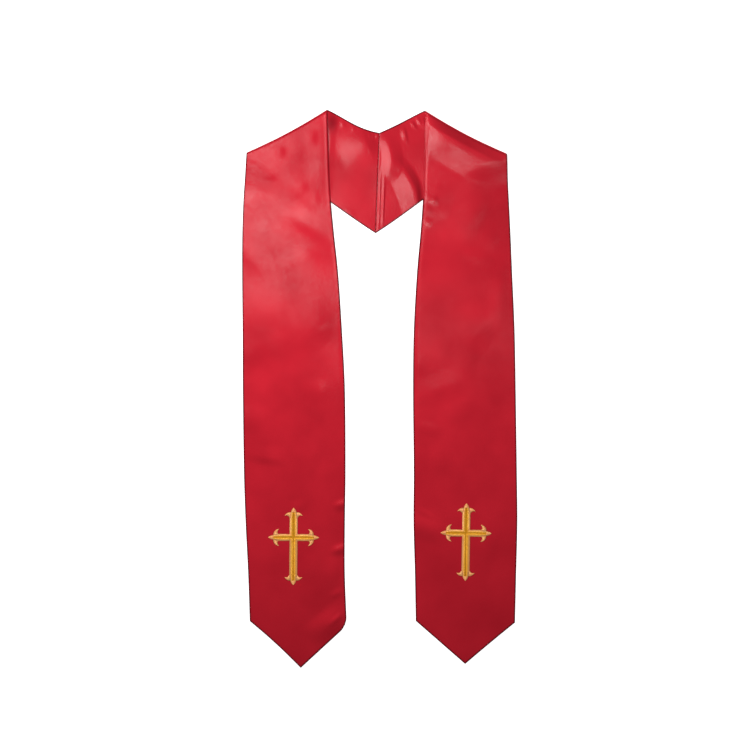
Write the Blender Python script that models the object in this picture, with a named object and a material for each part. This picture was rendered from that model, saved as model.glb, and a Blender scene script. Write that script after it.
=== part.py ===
"""Choir stole, laid flat: two satin face strips, two satin lining strips and two embroidered crosses.

Metres, +Z up. The origin is the middle of the bounding box, on the surface that the stole lies on. +Y runs from
the hems to the shoulders, and +X from the left panel to the right one, both as seen from above. Each strip lies
with its lining up in the back neck, turns over at the shoulder fold, and comes down the front with its face up.
"""

import math
from collections import namedtuple

import bmesh
import bpy
import numpy as np
from mathutils.geometry import delaunay_2d_cdt

# Sizes below are in millimetres and angles in degrees. Meshes are made in metres.
MM = 0.001

# Layers of cloth
WALL = 1.0
LAYER_GAP = 0.3
HALF_STRIP = WALL + LAYER_GAP / 2
FLOOR_MIDDLE = HALF_STRIP
STACK_MIDDLE = FLOOR_MIDDLE + 2 * HALF_STRIP + LAYER_GAP

# Centre-back seam, a mitre that leans a little to the left
SEAM_TOP = np.array([-0.4, 307.0])
SEAM_TIP = np.array([-5.0, 186.6])

# Soft turn at the shoulders, with a swell below it, and the step down where a front panel leaves the back part's
# lower edge. The swell is fullest near the neck edge.
SETTLE = 30.0
SWELL_CREST = 14.0
SWELL_FALL = 36.0
SWELL_SKEW = 0.75
STEP_LENGTH = 40.0

# Over what distance the back part's folds die away beside the front panel that lies on it
FOLDS_FADE = 7.0

# How far towards the seam the back part's edges curve most, 1 being the middle
NECK_SKEW = 1.5
LOWER_SKEW = 1.6

# How the sections turn from the shoulder's slant to level, and then to the hem's point
LEVEL_FROM = 25.0
LEVEL_TO = 165.0
POINT_FROM = 400.0

# Columns across a strip and rows along it
COLUMNS = 10
BACK_ROWS = 16
LOOP_ROWS = 8
PARALLEL_BACK = 14.0
Stretch = namedtuple("Stretch", "to_drop rows")
FRONT_STRETCHES = (
    Stretch(to_drop=30.0, rows=5),
    Stretch(to_drop=160.0, rows=12),
    Stretch(to_drop=420.0, rows=12),
    Stretch(to_drop=1000.0, rows=7),
)

# A front panel's side edges: x of its neck edge and its outer edge at each height y
Width = namedtuple("Width", "y neck outer")

# A large soft fold: its middle, half length, half width, height, the angle of its length from +X, how much wider
# its left flank is than its right one, seen along its length, how far its ends bend to the left, and how flat its
# flanks are, from 0 to 1
Fold = namedtuple("Fold", "x y along across height turn lean bend flatness", defaults=(0.0, 0.0, 0.0))
CREST_ROUND = 0.18

Side = namedtuple(
    "Side",
    "name sign apex corner fold_sag loop_radius loop_ease loop_swell neck_sag lower_bulge widths hem_neck"
    " hem_outer hem_tip folds_stop back_folds front_folds cross cross_lean",
)

LEFT = Side(
    name="left",
    sign=-1,
    apex=np.array([-63.2, 334.7]),
    corner=np.array([-159.5, 283.3]),
    fold_sag=2.2,
    loop_radius=1.9,
    loop_ease=80.0,
    loop_swell=0.0,
    neck_sag=3.0,
    lower_bulge=5.0,
    widths=(
        Width(y=334, neck=-62.7, outer=-157.0),
        Width(y=281, neck=-61.1, outer=-159.3),
        Width(y=235, neck=-59.3, outer=-163.0),
        Width(y=190, neck=-55.3, outer=-164.8),
        Width(y=140, neck=-50.0, outer=-165.1),
        Width(y=70, neck=-45.3, outer=-164.5),
        Width(y=0, neck=-41.8, outer=-164.2),
        Width(y=-100, neck=-41.0, outer=-162.9),
        Width(y=-160, neck=-41.8, outer=-160.9),
        Width(y=-220, neck=-41.9, outer=-157.9),
        Width(y=-284, neck=-39.5, outer=-155.7),
    ),
    hem_neck=-284.0,
    hem_outer=-278.7,
    hem_tip=np.array([-94.7, -334.9]),
    folds_stop=58.0,
    back_folds=(
        Fold(x=-15, y=290, along=30, across=26, height=1.2, turn=112, lean=0.45, flatness=1),
    ),
    front_folds=(
        Fold(x=-60, y=-282, along=36, across=20, height=2.2, turn=40),
        Fold(x=-44, y=-192, along=16, across=9, height=0.9, turn=20),
        Fold(x=-43, y=-139, along=15, across=8, height=0.9, turn=24),
        Fold(x=-80, y=68, along=52, across=32, height=1.0, turn=41, lean=0.2, flatness=0.6),
        Fold(x=-140, y=50, along=32, across=28, height=0.7, turn=156, flatness=0.6),
    ),
    cross=np.array([-103.4, -178.4]),
    cross_lean=-0.4,
)

RIGHT = Side(
    name="right",
    sign=1,
    apex=np.array([54.4, 333.6]),
    corner=np.array([152.6, 282.0]),
    fold_sag=2.4,
    loop_radius=2.2,
    loop_ease=60.0,
    loop_swell=2.3,
    neck_sag=0.3,
    lower_bulge=8.0,
    widths=(
        Width(y=334, neck=53.9, outer=150.0),
        Width(y=281, neck=53.6, outer=152.1),
        Width(y=235, neck=52.2, outer=154.5),
        Width(y=190, neck=49.2, outer=156.7),
        Width(y=140, neck=44.8, outer=158.8),
        Width(y=70, neck=40.9, outer=161.8),
        Width(y=0, neck=40.0, outer=163.1),
        Width(y=-100, neck=40.9, outer=164.5),
        Width(y=-160, neck=40.6, outer=165.1),
        Width(y=-220, neck=42.2, outer=163.7),
        Width(y=-280, neck=43.3, outer=162.3),
    ),
    hem_neck=-278.5,
    hem_outer=-280.5,
    hem_tip=np.array([102.5, -330.2]),
    folds_stop=51.5,
    back_folds=(
        Fold(x=14.2, y=275, along=36, across=14, height=1.15, turn=90, lean=-0.1, bend=13, flatness=1),
        Fold(x=43.5, y=235, along=58, across=18, height=2.5, turn=109, lean=0.42, bend=15, flatness=1),
    ),
    front_folds=(
        Fold(x=112, y=214, along=44, across=26, height=0.9, turn=70, lean=0.2),
        Fold(x=118, y=72, along=46, across=36, height=0.9, turn=56, lean=0.3, flatness=0.5),
        Fold(x=78, y=2, along=36, across=22, height=0.7, turn=22, flatness=0.5),
        Fold(x=58, y=-168, along=34, across=18, height=0.9, turn=160),
    ),
    cross=np.array([103.6, -173.2]),
    cross_lean=-0.9,
)

# Embroidered cross: the length of each arm from the crossing to its bud's tip, and its half width
Arm = namedtuple("Arm", "turn length half_width fleur")

# The end of an arm, as points set back from the bud's tip and to the side of the arm's middle line
Fleur = namedtuple("Fleur", "join inner_pull petal_tip outer_pull notch bud_pull")
UPRIGHT_FLEUR = Fleur(
    join=(12.5, 4.9),
    inner_pull=(8.5, 6.2),
    petal_tip=(9.6, 10.8),
    outer_pull=(4.9, 8.2),
    notch=(5.3, 3.5),
    bud_pull=(2.3, 3.0),
)
CROSSWISE_FLEUR = Fleur(
    join=(12.8, 4.2),
    inner_pull=(10.0, 5.8),
    petal_tip=(13.2, 10.2),
    outer_pull=(6.4, 9.4),
    notch=(6.2, 2.9),
    bud_pull=(2.6, 2.6),
)
UPRIGHT_HALF = 4.9
CROSSWISE_HALF = 4.2
ARMS = (
    Arm(turn=0, length=30.6, half_width=CROSSWISE_HALF, fleur=CROSSWISE_FLEUR),
    Arm(turn=90, length=35.7, half_width=UPRIGHT_HALF, fleur=UPRIGHT_FLEUR),
    Arm(turn=180, length=30.6, half_width=CROSSWISE_HALF, fleur=CROSSWISE_FLEUR),
    Arm(turn=270, length=57.1, half_width=UPRIGHT_HALF, fleur=UPRIGHT_FLEUR),
)
PETAL_ROUND = 0.7
PETAL_ROUND_STEPS = 2
CROSS_EDGE = 0.8
CROSS_CREST = 1.5
CROSS_GROOVE = 1.1
GROOVE_STOP = 2.0
PETAL_CREST_BACK = 0.6
PETAL_CREST_OUT = 0.72
CURVE_STEPS = 4
CUT_TOLERANCE = 1e-4

# Edges that turn more sharply than this are shaded as edges
SHARP_ANGLE = 40.0

Finish = namedtuple("Finish", "colour roughness metallic")
SATIN = Finish(colour=(0.68, 0.012, 0.03, 1.0), roughness=0.38, metallic=0.0)
LINING_SATIN = Finish(colour=(0.62, 0.012, 0.03, 1.0), roughness=0.34, metallic=0.0)
GOLD_THREAD = Finish(colour=(0.72, 0.38, 0.06, 1.0), roughness=0.42, metallic=0.25)


def smooth(x):
    """0 below 0, 1 above 1, and an S-curve between."""
    x = min(max(x, 0.0), 1.0)
    return x * x * (3 - 2 * x)


def bump(x):
    """1 at 0, falling smoothly to 0 at 1 and beyond."""
    return 0.5 + 0.5 * math.cos(math.pi * x) if abs(x) < 1 else 0.0


def flank(x, flatness):
    """A fold's height from its crest at 0 to its foot at 1: a soft wave, or flat flanks with a rounded crest."""
    x = min(abs(x), 1.0)
    whole = 1 - CREST_ROUND
    if x < CREST_ROUND:
        flat_flanks = 1 - x * x / (2 * CREST_ROUND * whole)
    elif x > whole:
        flat_flanks = (1 - x) ** 2 / (2 * CREST_ROUND * whole)
    else:
        flat_flanks = (1 - x - CREST_ROUND / 2) / whole
    return bump(x) * (1 - flatness) + flat_flanks * flatness


def smooth_through(rows, column, y):
    """The column's value at height y, on a smooth curve through the table's rows."""
    heights = [row.y for row in rows]
    values = [getattr(row, column) for row in rows]
    last = len(rows) - 1
    slopes = []
    for i in range(last + 1):
        above = max(i - 1, 0)
        below = min(i + 1, last)
        slopes.append((values[below] - values[above]) / (heights[below] - heights[above]))
    y = min(max(y, heights[-1]), heights[0])
    i = next(k for k in range(last) if y >= heights[k + 1])
    step = heights[i + 1] - heights[i]
    u = (y - heights[i]) / step
    rise = smooth(u)
    ease_out = u * (1 - u) ** 2 * step * slopes[i]
    ease_in = u * u * (1 - u) * step * slopes[i + 1]
    return values[i] + (values[i + 1] - values[i]) * rise + ease_out - ease_in


def unit(vector):
    return vector / np.linalg.norm(vector)


def inward(side):
    """The direction at right angles to the shoulder fold, pointing into the panel."""
    along = unit(side.apex - side.corner)
    across = np.array([along[1], -along[0]])
    return across if across[1] < 0 else -across


def fold_ends(side):
    """The middle layer's ends of the fold line, half the strip's thickness inside the outline."""
    step = inward(side) * HALF_STRIP
    return side.apex + step, side.corner + step


def lift(folds, x, y):
    """How far the large soft folds raise the cloth at a place."""
    total = 0.0
    for fold in folds:
        turn = math.radians(fold.turn)
        dx = x - fold.x
        dy = y - fold.y
        along = dx * math.cos(turn) + dy * math.sin(turn)
        across = dy * math.cos(turn) - dx * math.sin(turn)
        across -= fold.bend * (along / fold.along) ** 2
        reach = fold.across * (1 + fold.lean if across > 0 else 1 - fold.lean)
        total += fold.height * bump(along / fold.along) * flank(across / reach, fold.flatness)
    return total


def inside_lower_edge(side, place):
    """The distance of a place inside the back part's lower edge, negative beyond it."""
    _, corner = fold_ends(side)
    run = corner - SEAM_TIP
    length = np.linalg.norm(run)
    along = run / length
    up = np.array([-along[1], along[0]])
    up = up if up[1] > 0 else -up
    offset = place - SEAM_TIP
    share = min(max(float(offset @ along) / length, 0.0), 1.0)
    return float(offset @ up) - side.lower_bulge * math.sin(math.pi * share**LOWER_SKEW)


def neck_edge(side, distance):
    """The back part's upper edge, at a distance from the fold line."""
    apex, _ = fold_ends(side)
    share = distance / float((SEAM_TOP - apex) @ inward(side))
    sag = side.neck_sag * math.sin(math.pi * share**NECK_SKEW)
    return apex + (SEAM_TOP - apex) * share - np.array([0.0, sag])


def lower_edge(side, distance):
    """The back part's lower edge, at a distance from the fold line. It bows up where the front panel hides it."""
    _, corner = fold_ends(side)
    run = SEAM_TIP - corner
    share = distance / float(run @ inward(side))
    up = np.array([-run[1], run[0]]) / np.linalg.norm(run)
    up = up if up[1] > 0 else -up
    bow = side.lower_bulge * math.sin(math.pi * (1 - share) ** LOWER_SKEW)
    return corner + run * share + up * bow


def panel_place(side, column, y):
    return np.array([smooth_through(side.widths, column, y), y])


Section = namedtuple("Section", "neck outer front point")


def back_sections(side):
    """Sections from the centre-back seam to the fold line, fanned out and then parallel to the fold."""
    apex, corner = fold_ends(side)
    neck_run = float((SEAM_TOP - apex) @ inward(side))
    outer_run = float((SEAM_TIP - corner) @ inward(side))
    seam_side = np.array([side.sign * LAYER_GAP / 2, 0.0])
    sections = []
    for row in range(BACK_ROWS, -1, -1):
        share = row / BACK_ROWS
        neck = neck_edge(side, PARALLEL_BACK + (neck_run - PARALLEL_BACK) * share)
        outer = lower_edge(side, PARALLEL_BACK + (outer_run - PARALLEL_BACK) * share)
        beside_seam = seam_side * smooth(share)
        sections.append(Section(neck + beside_seam, outer + beside_seam, False, 0.0))
    quarter_turn = side.loop_radius * math.pi / 2
    half_rows = LOOP_ROWS // 2
    for row in range(half_rows, -1, -1):
        distance = quarter_turn * row / half_rows
        sections.append(Section(neck_edge(side, distance), lower_edge(side, distance), False, 0.0))
    return sections


def front_drops(side):
    """How far below the fold line each front section lies at its outer end, down to the hem."""
    _, corner = fold_ends(side)
    steepness = -inward(side)[1]
    quarter_turn = side.loop_radius * math.pi / 2 / steepness
    half_rows = LOOP_ROWS // 2
    drops = [quarter_turn * row / half_rows for row in range(1, half_rows + 1)]
    hem = corner[1] - side.hem_outer
    for stretch in FRONT_STRETCHES:
        end = min(stretch.to_drop, hem)
        start = drops[-1]
        drops += [start + (end - start) * row / stretch.rows for row in range(1, stretch.rows + 1)]
    return drops


def front_sections(side):
    """Sections from the fold line to the hem: parallel to the fold, then level, then pointed."""
    apex, corner = fold_ends(side)
    slant = apex[1] - corner[1]
    hem = corner[1] - side.hem_outer
    sections = []
    for drop in front_drops(side):
        levelled = smooth((drop - LEVEL_FROM) / (LEVEL_TO - LEVEL_FROM))
        pointed = smooth((drop - POINT_FROM) / (hem - POINT_FROM))
        outer_y = corner[1] - drop
        neck_y = outer_y + slant * (1 - levelled) + (side.hem_neck - side.hem_outer) * pointed
        neck = panel_place(side, "neck", neck_y)
        outer = panel_place(side, "outer", outer_y)
        sections.append(Section(neck, outer, True, pointed))
    return sections


def tip_share(side):
    """Where the hem's tip lies across the strip, from 0 at the neck edge to 1 at the outer edge."""
    neck = panel_place(side, "neck", side.hem_neck)
    outer = panel_place(side, "outer", side.hem_outer)
    return (side.hem_tip[0] - neck[0]) / (outer[0] - neck[0])


def hem_depth(side):
    share = tip_share(side)
    return side.hem_neck + (side.hem_outer - side.hem_neck) * share - side.hem_tip[1]


def column_shares(side):
    """The columns' places across the strip, with the middle one through the hem's tip."""
    middle = tip_share(side)
    half = COLUMNS // 2
    neck_half = [middle * column / half for column in range(half)]
    outer_half = [middle + (1 - middle) * column / half for column in range(half + 1)]
    return neck_half + outer_half


def back_height(side, distance, place):
    """The middle layer's height in the back neck and on the underside of the shoulder's turn."""
    radius = side.loop_radius
    if distance < radius * math.pi / 2:
        return FLOOR_MIDDLE + radius - radius * math.sin(distance / radius)
    clear_of_front = smooth((side.folds_stop - abs(place[0])) / FOLDS_FADE)
    return FLOOR_MIDDLE + lift(side.back_folds, *place) * clear_of_front


def front_height(side, distance, place, share):
    """The middle layer's height on a front panel, from the turn's upper side down to the floor."""
    radius = side.loop_radius
    quarter_turn = radius * math.pi / 2
    if distance < quarter_turn:
        height = FLOOR_MIDDLE + radius + radius * math.sin(distance / radius)
    else:
        loop_top = FLOOR_MIDDLE + 2 * radius
        settled = smooth((distance - quarter_turn) / side.loop_ease)
        height = loop_top + (STACK_MIDDLE - loop_top) * settled
        reach = SWELL_CREST - quarter_turn / 2 if distance < SWELL_CREST else SWELL_FALL
        fullness = math.sin(math.pi * min(share, 1.0) ** SWELL_SKEW)
        height += side.loop_swell * flank((distance - SWELL_CREST) / reach, 1.0) * fullness
    covered = 1 - smooth(-inside_lower_edge(side, place) / STEP_LENGTH)
    height = FLOOR_MIDDLE + (height - FLOOR_MIDDLE) * covered
    if distance < quarter_turn:
        return height
    return height + lift(side.front_folds, *place)


def turned_place(side, place, distance, share):
    """The place in plan after the cloth's turn round the shoulder fold, and the fold line's slight sag."""
    radius = side.loop_radius
    quarter_turn = radius * math.pi / 2
    if distance < quarter_turn:
        taken_up = distance - radius * (1 - math.cos(distance / radius))
    else:
        taken_up = (quarter_turn - radius) * (1 - smooth((distance - quarter_turn) / SETTLE))
    sag = side.fold_sag * math.sin(math.pi * share) * (1 - smooth(distance / (2 * SETTLE)))
    return place + inward(side) * (sag - taken_up)


def middle_surface(side):
    """The middle of the strip between its face and its lining, as rows of points from seam to hem."""
    apex, _ = fold_ends(side)
    into_panel = inward(side)
    shares = column_shares(side)
    depth = hem_depth(side)
    middle = tip_share(side)
    rows = []
    for section in back_sections(side) + front_sections(side):
        row = []
        for share in shares:
            place = section.neck + (section.outer - section.neck) * share
            to_tip = share / middle if share < middle else (1 - share) / (1 - middle)
            place = place - np.array([0.0, depth * section.point * to_tip])
            distance = max(float((place - apex) @ into_panel), 0.0)
            place = turned_place(side, place, distance, share)
            if section.front:
                height = front_height(side, distance, place, share)
            else:
                height = back_height(side, distance, place)
            row.append((place[0], place[1], height))
        rows.append(row)
    return np.array(rows)


def directions(points, axis):
    """Unit tangents along one axis of a grid of points, each the mean of the steps on both sides of it."""
    steps = np.diff(points, axis=axis)
    steps /= np.linalg.norm(steps, axis=2, keepdims=True)
    first = np.take(steps, [0], axis=axis)
    last = np.take(steps, [-1], axis=axis)
    before = np.concatenate([first, steps], axis=axis)
    after = np.concatenate([steps, last], axis=axis)
    return before + after


def outward(side, points):
    """Unit normals of the middle surface, pointing to the face's side. At the seam they don't lean across it."""
    normals = np.cross(directions(points, 0), directions(points, 1)) * side.sign
    seam = SEAM_TOP - SEAM_TIP
    across_seam = unit(np.array([seam[1], -seam[0], 0.0]))
    normals[0] -= np.outer(normals[0] @ across_seam, across_seam)
    return normals / np.linalg.norm(normals, axis=2, keepdims=True)


def finish_material(name, finish):
    material = bpy.data.materials.new(name)
    material.use_nodes = True
    shader = material.node_tree.nodes["Principled BSDF"]
    shader.inputs["Base Color"].default_value = finish.colour
    shader.inputs["Roughness"].default_value = finish.roughness
    shader.inputs["Metallic"].default_value = finish.metallic
    material.diffuse_color = finish.colour
    return material


def add_object(name, form, finish):
    """Turns a bmesh in millimetres into a named object in metres, shaded smooth."""
    bmesh.ops.scale(form, vec=(MM, MM, MM), verts=form.verts)
    bmesh.ops.recalc_face_normals(form, faces=form.faces)
    mesh = bpy.data.meshes.new(name)
    form.to_mesh(mesh)
    form.free()
    mesh.shade_smooth()
    mesh.set_sharp_from_angle(angle=math.radians(SHARP_ANGLE))
    mesh.materials.append(finish_material(name + "_finish", finish))
    obj = bpy.data.objects.new(name, mesh)
    bpy.context.scene.collection.objects.link(obj)
    return obj


def shorter_diagonals(points):
    """For each cell of a grid, whether its shorter diagonal runs from its first corner."""
    first = np.linalg.norm(points[1:, 1:] - points[:-1, :-1], axis=2)
    second = np.linalg.norm(points[1:, :-1] - points[:-1, 1:], axis=2)
    return first <= second


def add_sheet(form, grid, from_first):
    """Adds a grid of points as triangles, and returns its rows of vertices."""
    rows = [[form.verts.new(point) for point in row] for row in grid]
    for r, (row, following) in enumerate(zip(rows, rows[1:])):
        for c in range(len(row) - 1):
            a, b, d, e = row[c], row[c + 1], following[c + 1], following[c]
            cells = ((a, b, d), (a, d, e)) if from_first[r, c] else ((a, b, e), (b, d, e))
            for triangle in cells:
                form.faces.new(triangle)
    return rows


def wall(name, upper, lower, from_first, finish):
    """A closed wall of cloth between two grids of points, split along the same diagonals, with edges all round."""
    form = bmesh.new()
    top = add_sheet(form, upper, from_first)
    bottom = add_sheet(form, lower, from_first)
    rims = [(top[0], bottom[0]), (top[-1], bottom[-1])]
    rims += [([row[end] for row in top], [row[end] for row in bottom]) for end in (0, -1)]
    for above, below in rims:
        for i in range(len(above) - 1):
            form.faces.new((above[i], above[i + 1], below[i + 1], below[i]))
    return add_object(name, form, finish)


def strip(side):
    """A side's face and lining, on both sides of the same middle surface."""
    points = middle_surface(side)
    normals = outward(side, points)
    from_first = shorter_diagonals(points)
    layers = {
        "_face": (HALF_STRIP, LAYER_GAP / 2, SATIN),
        "_lining": (-LAYER_GAP / 2, -HALF_STRIP, LINING_SATIN),
    }
    for suffix, (upper, lower, finish) in layers.items():
        wall(side.name + suffix, points + normals * upper, points + normals * lower, from_first, finish)


def curve(start, pull, end, steps):
    """Points after the start on a curve that leaves towards the pull point and arrives from it."""
    start, pull, end = (np.array(p, float) for p in (start, pull, end))
    points = []
    for step in range(1, steps + 1):
        u = step / steps
        points.append(start * (1 - u) ** 2 + pull * 2 * u * (1 - u) + end * u * u)
    return points


def arm_half(arm, other_half):
    """Half of an arm's outline, from the crossing's corner to the bud's tip, on its left side."""
    fleur = arm.fleur
    place = {name: np.array([arm.length - back, out]) for name, (back, out) in fleur._asdict().items()}
    tip = place["petal_tip"]
    round_end = tip + np.array([PETAL_ROUND, 0.0])
    outline = [np.array([other_half, arm.half_width]), place["join"]]
    outline += curve(place["join"], place["inner_pull"], tip - np.array([PETAL_ROUND, 0.0]), CURVE_STEPS)
    outline += curve(outline[-1], tip + np.array([0.0, PETAL_ROUND]), round_end, PETAL_ROUND_STEPS)
    outline += curve(round_end, place["outer_pull"], place["notch"], CURVE_STEPS)
    outline += curve(place["notch"], place["bud_pull"], (arm.length, 0.0), CURVE_STEPS)
    return outline


def turned(point, turn):
    turn = math.radians(turn)
    along, out = point
    return np.array(
        [along * math.cos(turn) - out * math.sin(turn), along * math.sin(turn) + out * math.cos(turn)]
    )


def cross_outline():
    """The cross's outline, anticlockwise, each arm from its right side round its bud to its left side."""
    outline = []
    for arm in ARMS:
        other_half = UPRIGHT_HALF if arm.half_width == CROSSWISE_HALF else CROSSWISE_HALF
        half = arm_half(arm, other_half)
        mirrored = [point * np.array([1.0, -1.0]) for point in half]
        loop = mirrored + half[-2:0:-1]
        outline += [turned(point, arm.turn) for point in loop]
    return outline


def cross_relief():
    """Points inside the outline with their heights, and the lines that join them.

    Each arm is two rows of raised stitches with a groove between them.
    """
    points = [np.array([0.0, 0.0])]
    heights = [CROSS_GROOVE]
    lines = []
    for arm in ARMS:
        other_half = UPRIGHT_HALF if arm.half_width == CROSSWISE_HALF else CROSSWISE_HALF
        groove_end = arm.length - arm.fleur.notch[0] - GROOVE_STOP
        crest_end = arm.length - arm.fleur.join[0]
        points.append(turned((groove_end, 0.0), arm.turn))
        heights.append(CROSS_GROOVE)
        lines.append((0, len(points) - 1))
        for out in (arm.half_width / 2, -arm.half_width / 2):
            for along in (other_half, crest_end):
                points.append(turned((along, out), arm.turn))
                heights.append(CROSS_CREST)
            lines.append((len(points) - 2, len(points) - 1))
        points.append(turned((arm.length - arm.fleur.notch[0] / 2, 0.0), arm.turn))
        heights.append(CROSS_CREST)
        petal = (np.array(arm.fleur.petal_tip) + np.array(arm.fleur.outer_pull)) / 2
        for out in (petal[1] * PETAL_CREST_OUT, -petal[1] * PETAL_CREST_OUT):
            points.append(turned((arm.length - petal[0] - PETAL_CREST_BACK, out), arm.turn))
            heights.append(CROSS_CREST)
    return points, heights, lines


def embroidered_cross(side):
    """A raised cross whose underside follows the panel, a layer's gap above it."""
    outline = cross_outline()
    inner, inner_heights, inner_lines = cross_relief()
    count = len(outline)
    places = outline + inner
    heights = [CROSS_EDGE] * count + inner_heights
    lines = [(i, (i + 1) % count) for i in range(count)]
    lines += [(count + a, count + b) for a, b in inner_lines]
    flat = [tuple(float(value) for value in place) for place in places]
    cut = delaunay_2d_cdt(flat, lines, [list(range(count))], 1, CUT_TOLERANCE, True)
    triangles = [triangle for triangle, source in zip(cut[2], cut[5]) if source]
    form = bmesh.new()
    upper = []
    lower = []
    for place, height in zip(places, heights):
        spot = turned(place, side.cross_lean) + side.cross
        ground = FLOOR_MIDDLE + HALF_STRIP + LAYER_GAP + lift(side.front_folds, *spot)
        upper.append(form.verts.new((spot[0], spot[1], ground + height)))
        lower.append(form.verts.new((spot[0], spot[1], ground)))
    own = {k: source[0] for k, source in enumerate(cut[3])}
    for triangle in triangles:
        corners = [own[k] for k in triangle]
        form.faces.new([upper[k] for k in corners])
        form.faces.new([lower[k] for k in corners[::-1]])
    for i in range(count):
        k = (i + 1) % count
        form.faces.new((lower[i], lower[k], upper[k], upper[i]))
    return add_object(side.name + "_cross", form, GOLD_THREAD)


def main():
    for obj in list(bpy.data.objects):
        bpy.data.objects.remove(obj, do_unlink=True)
    for side in (LEFT, RIGHT):
        strip(side)
        embroidered_cross(side)


main()
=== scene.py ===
"""Looks of the choir stole: satin strips with rolled edges and soft creases, and stitched crosses.

The strips follow the sizes in the part's source, worked out again here on a finer grid. Sizes are in
millimetres and angles in degrees until a mesh is made, which is in metres. +Y runs from the hems to the
shoulders. Lamps and materials are in metres.
"""

import math
from collections import namedtuple

import bpy
import numpy as np
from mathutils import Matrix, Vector

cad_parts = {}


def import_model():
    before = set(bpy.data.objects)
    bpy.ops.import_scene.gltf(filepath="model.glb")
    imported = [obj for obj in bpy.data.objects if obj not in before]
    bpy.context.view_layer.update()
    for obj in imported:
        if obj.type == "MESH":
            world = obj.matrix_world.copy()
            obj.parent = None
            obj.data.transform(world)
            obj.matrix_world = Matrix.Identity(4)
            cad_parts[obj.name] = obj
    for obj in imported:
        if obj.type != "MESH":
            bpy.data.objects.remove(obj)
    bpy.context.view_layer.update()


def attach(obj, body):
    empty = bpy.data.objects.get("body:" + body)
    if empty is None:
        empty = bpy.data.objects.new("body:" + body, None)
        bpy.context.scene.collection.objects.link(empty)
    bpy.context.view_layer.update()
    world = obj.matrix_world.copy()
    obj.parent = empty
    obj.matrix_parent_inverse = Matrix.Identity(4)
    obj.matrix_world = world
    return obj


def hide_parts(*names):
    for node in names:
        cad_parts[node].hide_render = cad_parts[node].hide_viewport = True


MM = 0.001

# Layers of cloth: real satin with its interfacing, half as thick as the wall in the part's source
WALL = 0.5
LAYER_GAP = 0.3
HALF_STRIP = WALL + LAYER_GAP / 2
FLOOR_MIDDLE = HALF_STRIP
STACK_MIDDLE = FLOOR_MIDDLE + 2 * HALF_STRIP + LAYER_GAP

# The turned edges: how wide the roll is, how far each layer's outer and inner side lie from the middle at
# the edge, the puff behind it, and where creases and puff begin
ROLL = 1.1
SEAM_HALF = 0.12
INNER_SIDE = 0.04
PUFF = 0.2
PUFF_EASE = 9.0
RELIEF_EASE = 2.0
THINNEST = 0.3

# Centre-back seam, and how far each strip's edge lies from its line
SEAM_STEP_BACK = 0.02
SEAM_TOP = np.array([-0.4, 307.0])
SEAM_TIP = np.array([-5.0, 186.6])

# The shade painted as a dark line along each edge: a place far from any edge, and how much further in the
# satin seems to lie at the seam and where a front panel's neck edge passes over the back part, where it is
# lighter
FAR_FROM_EDGE = 200.0
SEAM_SHADE = 1.6
OVER_BACK_SHADE = 2.2
OVER_BACK_EASE = 3.0
OVER_BACK_REACH = 4.0

# Soft turn at the shoulders, and the step down where a front panel leaves the back part's lower edge
SETTLE = 30.0
SWELL_CREST = 14.0
SWELL_FALL = 36.0
SWELL_SKEW = 0.75
STEP_LENGTH = 40.0
FOLDS_FADE = 7.0
NECK_SKEW = 1.5
LOWER_SKEW = 1.6

# How the sections turn from the shoulder's slant to level, and then to the hem's point
LEVEL_FROM = 25.0
LEVEL_TO = 165.0
POINT_FROM = 400.0
PARALLEL_BACK = 14.0

# How a curled hem corner is drawn in: over what distance, and how far up for each step sideways
CURL_REACH = 5.0
CURL_RISE = 0.5

# The fine grid: steps in from an edge, rows near the seam, rows through the shoulder's turn, and the rest
EDGE_STEPS = (0.0, 0.1, 0.3, 0.6, 1.0, 1.5, 2.3, 3.4)
SEAM_STEP = 0.6
SEAM_BAND = 13.0
CELL_ALONG = 2.0
CELLS_ACROSS = 26
TURN_ROWS = 8
FOLD_STEP = 1.0
FOLD_BAND = 32.0

# How dull the front panels are, from 0 to 1, where handling has crushed the satin, and over what distance
# the dullness starts
CRUSHED = 0.75
CRUSHED_EASE = 60.0

# A front panel's side edges: x of its neck edge and its outer edge at each height y
Width = namedtuple("Width", "y neck outer")

# A soft fold or crease: its middle, half length, half width, height, the angle of its length from +X, how
# much wider its left flank is than its right one, seen along its length, how far its ends bend to the left,
# and how flat its flanks are, from 0 to 1. Sheen spots and shaded spots have the same form, and their height
# is the change in sheen or in the shade painted into the satin's colour.
Fold = namedtuple("Fold", "x y along across height turn lean bend flatness", defaults=(0.0, 0.0, 0.0))
CREST_ROUND = 0.18

Side = namedtuple(
    "Side",
    "name sign apex corner fold_sag loop_radius loop_ease loop_swell neck_sag lower_bulge widths hem_neck"
    " hem_outer hem_tip hem_bow curl lip lip_width folds_stop back_folds front_folds back_creases"
    " front_creases sheen_spots shaded_spots dull_below cross cross_lean",
)

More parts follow.
